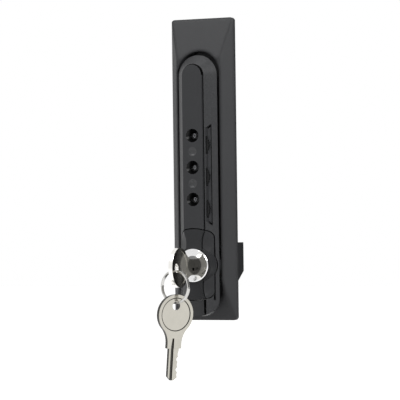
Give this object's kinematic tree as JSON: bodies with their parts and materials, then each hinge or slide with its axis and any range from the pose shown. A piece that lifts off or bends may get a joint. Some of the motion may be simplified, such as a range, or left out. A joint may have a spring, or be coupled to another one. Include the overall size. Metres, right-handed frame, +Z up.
{
  "type": "swing handle lock",
  "caption": "Swing handle lock: a hipped escutcheon with a dished, lifting handle, key cylinder, number dials behind windows, spindle housing, and keys on a split ring.",
  "frame": {"origin": "centre of the escutcheon's back face, on the door's front surface", "axes": "+X right seen from the front, +Y into the door, +Z up along the handle"},
  "size_m": [0.04, 0.0929, 0.2132],
  "materials": {
    "plate_nylon": "fine grained black",
    "handle_nylon": "fine grained black",
    "seal": "matt",
    "housing_zinc": "satin black",
    "turret_zinc": "bare cast zinc",
    "bush_brass": "turned",
    "screw_steel": "zinc plated",
    "cylinder_chrome": "polished",
    "dial_plastic": "black, serrated edge, white numbers",
    "code_brass": "plain",
    "key_nickel": "nickel plated",
    "ring_nickel": "polished"
  },
  "bodies": {
    "housing": {"escutcheon": "plate_nylon", "door_gasket": "seal", "spindle_housing": "housing_zinc", "housing_cap": "housing_zinc", "spindle_bush": "bush_brass"},
    "turret": {"turret_hub": "turret_zinc", "carrier_plate": "turret_zinc", "retaining_ring": "screw_steel", "insert_cap": "handle_nylon", "cylinder_barrel": "cylinder_chrome"},
    "plug": {"cylinder_plug": "cylinder_chrome", "lock_cam": "screw_steel"},
    "bolt": {"lock_bolt": "screw_steel"},
    "handle": {"handle_shell": "handle_nylon", "back_cover": "handle_nylon", "pivot_pin": "screw_steel", "dial_axles": "screw_steel"},
    "upper_dial": {"dial_upper_wheel": "dial_plastic", "dial_upper_code_ring": "code_brass"},
    "middle_dial": {"dial_middle_wheel": "dial_plastic", "dial_middle_code_ring": "code_brass"},
    "lower_dial": {"dial_lower_wheel": "dial_plastic", "dial_lower_code_ring": "code_brass"},
    "bar": {"locking_bar": "screw_steel"},
    "key": {"seated_key": "key_nickel"},
    "ring": {"key_ring": "ring_nickel"},
    "spare": {"spare_key": "key_nickel"}
  },
  "joints": [
    {"name": "handle_swing", "type": "hinge", "parent": "housing", "child": "turret", "pos_m": [0, 0, -0.057], "axis": [0, 1, 0], "range_deg": [-90, 90]},
    {"name": "handle_lift", "type": "hinge", "parent": "turret", "child": "handle", "pos_m": [0, -0.014, -0.0826], "axis": [1, 0, 0], "range_deg": [0, 30]},
    {"name": "plug_turn", "type": "hinge", "parent": "turret", "child": "plug", "pos_m": [0, 0, -0.057], "axis": [0, -1, 0], "range_deg": [0, 90]},
    {"name": "bolt_slide", "type": "slide", "parent": "turret", "child": "bolt", "axis": [0, 0, 1], "range_m": [0, 0.003]},
    {"name": "bar_slide", "type": "slide", "parent": "handle", "child": "bar", "axis": [0, 0, 1], "range_m": [0, 0.003]},
    {"name": "upper_dial_turn", "type": "hinge", "parent": "handle", "child": "upper_dial", "pos_m": [0.0015, -0.015, 0.01397], "axis": [0, 1, 0], "continuous": true},
    {"name": "middle_dial_turn", "type": "hinge", "parent": "handle", "child": "middle_dial", "pos_m": [0.0015, -0.015, -0.0049], "axis": [0, 1, 0], "continuous": true},
    {"name": "lower_dial_turn", "type": "hinge", "parent": "handle", "child": "lower_dial", "pos_m": [0.0015, -0.015, -0.02377], "axis": [0, 1, 0], "continuous": true},
    {"name": "key_slide", "type": "slide", "parent": "plug", "child": "key", "axis": [0, -1, 0], "range_m": [0, 0.026]},
    {"name": "ring_swing", "type": "hinge", "parent": "key", "child": "ring", "pos_m": [0, -0.04675, -0.058], "axis": [1, 0, 0], "range_deg": [-60, 20]},
    {"name": "spare_swing", "type": "hinge", "parent": "ring", "child": "spare", "pos_m": [0, -0.04675, -0.0798], "axis": [0.8256, -0.5585, -0.0808], "range_deg": [-40, 40]}
  ],
  "couplings": [
    {"joint": "bolt_slide", "follows": "plug_turn", "m_per_rad": 0.0019}
  ]
}
